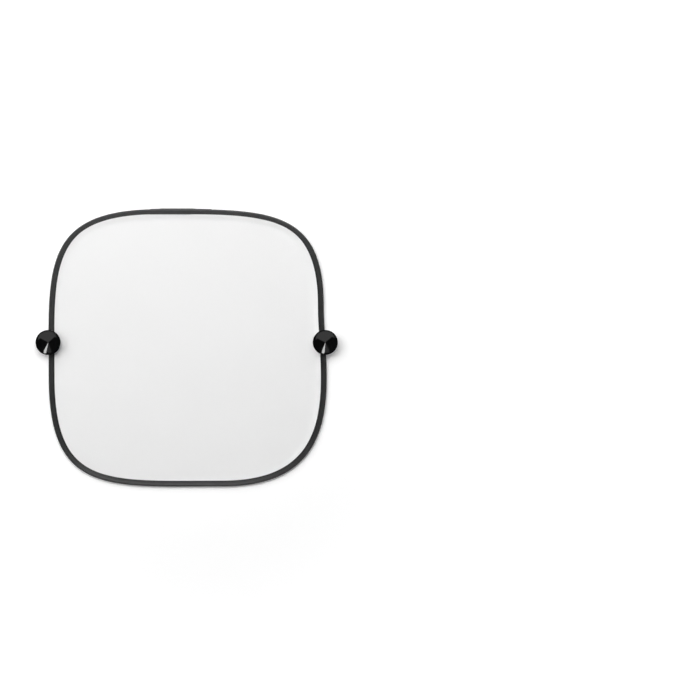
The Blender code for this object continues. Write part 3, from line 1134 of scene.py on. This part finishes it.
@dataclass
class MeshSheet:
    """The knitted sheet, cut a little inside the wire and held between the tape's legs.

    It hangs a little lower than the tape, most of all towards the slack upper right corner.
    """

    hoop: HoopLine
    edge: float = 2.05 * MM
    thickness: float = 0.40 * MM
    around: int = 480
    band: tuple = (0.0, 2.2, 3.9, 4.6, 5.4, 6.4, 7.6, 9.2, 11.2, 13.8, 17.0, 21.0, 26.0)
    spokes: int = 26
    held: float = 3.6 * MM
    dip: float = 1.00 * MM
    dip_width: float = 8.5 * MM
    slack_towards: float = math.radians(55.0)
    slack_reach: float = 0.20
    pucker: float = 0.096 * MM
    pucker_at: float = 7.0 * MM
    pucker_width: float = 4.5 * MM
    pucker_waves: tuple = (61, 97)
    pucker_patches: int = 3

    def height(self, point: Vector, inside: float, turn: float) -> float:
        """How far the sheet's middle stands above the bead's height.

        Args:
            point: The place on the sheet.
            inside: How far it is inside the sheet's own edge.
            turn: The share of the way round the hoop.

        Returns:
            The height in metres.
        """
        free = eased((inside - self.held) / self.dip_width)
        slack = point.x * math.cos(self.slack_towards) + point.y * math.sin(self.slack_towards)
        sag = -self.dip * free * (1.0 + slack / self.slack_reach)
        fade = math.exp(-(((inside - self.pucker_at) / self.pucker_width) ** 2))
        coarse, fine, patches = (math.tau * n * turn for n in (*self.pucker_waves, self.pucker_patches))
        ripple = math.sin(coarse) + 0.6 * math.sin(fine + 1.3)
        patch = 0.5 + 0.5 * math.sin(patches + 0.7)
        return sag + self.pucker * fade * ripple * (0.25 + 0.75 * patch) * min(free * 3.0, 1.0)

    def ring(self, inward: float) -> list[Vector]:
        """Even points round the hoop, at a distance inside its line."""
        shares = [n / self.around for n in range(self.around)]
        return [self.hoop.beside(self.hoop.total * share, inward, 0.0) for share in shares]

    def build(self, finish: KnitFinish) -> Piece:
        """Makes the sheet from rings that follow its edge, closing to the middle.

        Args:
            finish: The knitted finish.

        Returns:
            The finished piece.
        """
        rims = [self.ring(self.edge + inward * MM) for inward in self.band]
        middle = self.hoop.shift.copy()
        last = rims[-1]
        for spoke in range(1, self.spokes):
            share = 1.0 - spoke / self.spokes
            rims.append([middle + (point - middle) * share for point in last])
        vertices, faces = [], []
        for rim in rims:
            for n, point in enumerate(rim):
                lift = self.height(point - middle, (point - rims[0][n]).length, n / self.around)
                vertices.append((point.x, point.y, self.hoop.bead_height + lift))
        inner = (len(rims) - 1) * self.around
        for here in range(0, inner, self.around):
            further = here + self.around
            for n in range(self.around):
                beyond = (n + 1) % self.around
                faces.append((here + n, here + beyond, further + beyond, further + n))
        lift = self.height(Vector(), self.hoop.top, 0.0)
        vertices.append((middle.x, middle.y, self.hoop.bead_height + lift))
        faces += [(inner + n, inner + (n + 1) % self.around, len(vertices) - 1) for n in range(self.around)]
        mesh = bpy.data.meshes.new("mesh_sheet")
        mesh.from_pydata(vertices, [], faces)
        sheet = add_object("mesh_sheet", mesh)
        close_up(sheet)
        apply_modifier(sheet, "SOLIDIFY", thickness=self.thickness, offset=0.0, use_even_offset=True)
        smooth(sheet, 60.0)
        sheet.data.materials.append(finish.material())
        return sheet

    def flat_size(self) -> tuple[tuple[float, float], float]:
        """The rectangle that the flat sheet is cut from, and the area of its rounded outline."""
        rim = self.ring(self.edge)
        width, length = (max(p[axis] for p in rim) - min(p[axis] for p in rim) for axis in (0, 1))
        area = abs(sum(a.x * b.y - b.x * a.y for a, b in zip(rim, rim[1:] + rim[:1]))) / 2
        return (width, length), area


# The suction cups


@dataclass
class SuctionCup:
    """One vinyl moulding: a cone with a flat lip, a short neck and a slotted clip head."""

    side: Side
    head_radius: float = 6.20 * MM
    head_height: float = 8.40 * MM
    head_rounding: float = 0.80 * MM
    neck_outward: float = 1.90 * MM
    neck_radius: float = 4.60 * MM
    neck_height: float = 1.50 * MM
    neck_fillet: float = 0.40 * MM
    cup_radius: float = 17.50 * MM
    slope: float = math.radians(20.0)
    wall_at_neck: float = 1.80 * MM
    wall_at_rim: float = 1.00 * MM
    lip_width: float = 1.10 * MM
    lip_step: float = 0.10 * MM
    lip_rounding: float = 0.15 * MM
    apex_rounding: float = 0.35 * MM
    bead_height: float = 4.35 * MM
    clip_bore: float = 2.35 * MM
    slot_half_angle: float = math.radians(50.0)
    apex: tuple = ((1.0, 1.0), (0.5, 0.62), (0.0, 0.5))
    facets: int = 128

    @staticmethod
    def arc(out: float, up: float, radius: float, start: float, end: float) -> list[tuple[float, float]]:
        """Points of a rounding.

        Args:
            out: The radius at which the rounding's middle is.
            up: The height at which it is.
            radius: How round it is.
            start: The angle that it starts from, in degrees.
            end: The angle that it ends at.

        Returns:
            Its points as radii and heights.
        """
        angles = [math.radians(start + (end - start) * n / 4) for n in range(5)]
        return [(out + radius * math.cos(a), up + radius * math.sin(a)) for a in angles]

    def profile(self) -> list[Vector]:
        """The turned outline, from under the head up and over the lip into the hollow."""
        turned = self.head_rounding
        fillet = self.neck_fillet
        neck_top = self.head_height + self.neck_height
        hollow = neck_top + self.wall_at_neck
        cone = self.cup_radius - self.lip_width
        cone_top = hollow + cone * math.tan(self.slope)
        lip = cone_top + self.lip_step
        small = self.lip_rounding
        rise = math.tan(self.slope)
        soft = self.apex_rounding
        roundings = (
            (self.head_radius - turned, turned, turned, -90.0, 0.0),
            (self.head_radius - turned, self.head_height - turned, turned, 0.0, 90.0),
            (self.neck_radius + fillet, self.head_height + fillet, fillet, 270.0, 180.0),
            (self.neck_radius + fillet, neck_top - fillet, fillet, 180.0, 90.0),
            (self.cup_radius - small, lip - self.wall_at_rim + small, small, -90.0, 0.0),
            (self.cup_radius - small, lip - small, small, 0.0, 90.0),
        )
        outline = [(0.0, 0.0)]
        for rounding in roundings:
            outline += self.arc(*rounding)
        outline += [(cone + self.lip_step, lip), (cone, cone_top)]
        outline += [(cone * share, hollow + cone * share * rise) for share in (0.75, 0.5, 0.25)]
        outline += [(soft * out, hollow + soft * rise * up) for out, up in self.apex]
        return [Vector((self.neck_outward + out, 0.0, up - self.bead_height)) for out, up in outline]

    def cutters(self) -> list[Piece]:
        """The round bore that the bead lies in, and the wedge that opens it towards the sheet."""
        deselect_all()
        length = 4.0 * self.head_radius
        bpy.ops.mesh.primitive_cylinder_add(
            vertices=64, radius=self.clip_bore, depth=length, rotation=(math.pi / 2, 0.0, 0.0)
        )
        bore = bpy.context.object
        freeze()
        above = self.head_height - self.bead_height + self.neck_height / 3.0
        below = 2.0 * self.bead_height
        rise = math.tan(self.slot_half_angle)
        far = -2.0 * self.head_radius
        corners = [(0.0, 0.0), (-above / rise, above), (far, above), (far, -below), (-below / rise, -below)]
        wedge = draw_outline("slot_cutter", [Vector((x, -length / 2.0, z)) for x, z in corners], True)
        with editing(wedge):
            bpy.ops.mesh.edge_face_add()
            pull(Vector((0.0, length, 0.0)))
        close_up(wedge)
        return [bore, wedge]

    def build(self, swivel: dict, finish: Material) -> Piece:
        """Turns the cup, cuts its clip and sets it on its swivel axis.

        Args:
            swivel: The joint's record, with its place and axis.
            finish: The vinyl.

        Returns:
            The finished piece.
        """
        cup = draw_outline(f"cup_{self.side.value}", self.profile(), False)
        with editing(cup):
            bpy.ops.mesh.spin(
                steps=self.facets, angle=math.tau, center=(self.neck_outward, 0.0, 0.0), axis=(0.0, 0.0, 1.0)
            )
        close_up(cup, 1e-6)
        for cutter in self.cutters():
            apply_modifier(cup, "BOOLEAN", operation="DIFFERENCE", solver="EXACT", object=cutter)
            remove(cutter)
        axis = Vector(swivel["axis"])
        outward = Vector((axis.y, -axis.x, 0.0))
        cup.rotation_euler.z = math.atan2(outward.y, outward.x)
        cup.location = swivel["pos_m"]
        pick(cup)
        freeze()
        smooth(cup, 28.0)
        cup.data.materials.append(finish)
        return cup


# The studio


@dataclass(frozen=True)
class Softbox:
    """One lamp with an even face."""

    name: str
    place: tuple
    width: float
    length: float
    radiance: float
    seen_in_gloss: bool = True
    lights_matt: bool = True
    level: bool = False
    turned: float = 0.0

    def build(self) -> None:
        """Hangs the lamp, aimed at the middle of the shade or level like a ceiling."""
        way = Vector((0.0, 0.0, 1.0)) if self.level else Vector(self.place).normalized()
        data = bpy.data.lights.new(self.name, "AREA")
        data.shape = "RECTANGLE"
        data.size, data.size_y = self.width, self.length
        data.energy = self.radiance * math.pi * self.width * self.length
        lamp = add_object(self.name, data)
        lamp.location = self.place
        lamp.rotation_euler = way.to_track_quat("Z", "Y").to_euler()
        lamp.rotation_euler.z += math.radians(self.turned)
        lamp.visible_glossy = self.seen_in_gloss
        lamp.visible_diffuse = self.lights_matt
        lamp.visible_camera = False


@dataclass
class Studio:
    """The paper, the lamps, the room's dim light and the camera."""

    hoop: HoopLine
    photo_width: float = 0.98
    photo_centre: tuple = (0.2283, -0.0035)
    camera_height: float = 8.0
    sensor: float = 36.0
    paper_half: float = 4.0
    room: float = 0.03
    lamps: tuple = (
        Softbox("window_strip", (2.02, 8.77, 10.72), 2.60, 10.0, 13.5, lights_matt=False),
        Softbox("window_fill", (-0.20, 1.10, 1.45), 2.6, 1.8, 1.35, False),
        Softbox("side_softbox", (-3.60, 1.20, 4.40), 4.8, 4.8, 1.9, False),
        Softbox("overhead_softbox", (-0.05, 0.50, 1.60), 0.9, 0.7, 5.9, False),
        Softbox("glow_strip", (-2.32, 9.40, 11.00), 4.0, 7.0, 0.5),
        Softbox(
            "ceiling_softbox", (0.39, -5.60, 5.0), 12.2, 6.6, 0.93, lights_matt=False, level=True, turned=6.8
        ),
    )

    def paper(self) -> None:
        """Lays the white paper."""
        deselect_all()
        bpy.ops.mesh.primitive_grid_add(x_subdivisions=8, y_subdivisions=8, size=2.0 * self.paper_half)
        paper = bpy.context.object
        paper.name = "paper"
        paper.data.materials.append(PaperFinish().material())

    def dim_room(self) -> None:
        """Sets the world: white where it is seen, and a dim even light everywhere else."""
        world = bpy.data.worlds.new("room")
        bpy.context.scene.world = world
        world.use_nodes = True
        tree = world.node_tree
        light = tree.nodes["Background"]
        rays = tree.nodes.new("ShaderNodeLightPath")
        strength = tree.nodes.new("ShaderNodeMapRange")
        strength.inputs["To Min"].default_value = self.room
        strength.inputs["To Max"].default_value = 1.0
        tree.links.new(rays.outputs["Is Camera Ray"], strength.inputs["Value"])
        tree.links.new(strength.outputs["Result"], light.inputs["Strength"])
        light.inputs["Color"].default_value = (1.0, 1.0, 1.0, 1.0)

    def camera(self) -> None:
        """Hangs a long lens straight above the middle of the picture."""
        data = bpy.data.cameras.new("camera")
        data.sensor_width = self.sensor
        data.lens = self.sensor * self.camera_height / self.photo_width
        data.clip_end = 50.0
        camera = add_object("camera", data)
        camera.location = (*self.photo_centre, self.hoop.bead_height + self.camera_height)
        bpy.context.scene.camera = camera

    def build(self) -> None:
        """Sets up everything that isn't part of the shade."""
        self.camera()
        self.paper()
        self.dim_room()
        for lamp in self.lamps:
            lamp.build()
        bpy.context.scene.view_settings.view_transform = "Standard"


def dress_steel(frame: dict) -> None:
    """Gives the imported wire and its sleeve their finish.

    Args:
        frame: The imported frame.
    """
    steel = SteelFinish().material()
    for name in ("wire_hoop", "wire_ferrule"):
        node = frame["nodes"][name]
        for slot in node.material_slots:
            slot.material = steel
        LOG.info("%s keeps its packed shape and gets drawn steel", name)


def report(piece: Piece) -> None:
    """Logs one finished piece.

    Args:
        piece: The piece to name and count.
    """
    LOG.info("%s has %d faces", piece.name, len(piece.data.polygons))


def main() -> None:
    """Builds the shade's pieces in order, and then the studio."""
    logging.basicConfig(level=logging.INFO, format="%(name)s: %(message)s")
    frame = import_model()

    hoop = HoopLine()
    hoop.settle(*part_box("wire_hoop"))
    studio = Studio(hoop)
    studio.build()
    guide = hoop.guide()

    tape_maker = EdgeTape(hoop)
    tape_maker.settle()
    tape = tape_maker.build(guide, TapeFinish())
    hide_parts("edge_binding")
    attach(tape, "shade")
    report(tape)

    stitches = SeamStitches(tape_maker).build(guide, ThreadFinish())
    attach(stitches, "shade")
    report(stitches)
    remove(guide)

    sheet_maker = MeshSheet(hoop)
    sheet = sheet_maker.build(KnitFinish())
    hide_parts("mesh_panel")
    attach(sheet, "shade")
    flat, area = sheet_maker.flat_size()
    report(sheet)
    LOG.info("the sheet is cut from %.4f by %.4f m and has %.4f square metres", *flat, area)

    vinyl = VinylFinish().material()
    joints = {joint["name"]: joint for joint in frame["record"]["behaviour"]["joints"]}
    for side in Side:
        cup = SuctionCup(side).build(joints[f"{side.value}_cup_swivel"], vinyl)
        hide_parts(f"suction_cup_{side.value}")
        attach(cup, f"{side.value}_cup")
        report(cup)

    dress_steel(frame)


if __name__ == "__main__":
    main()
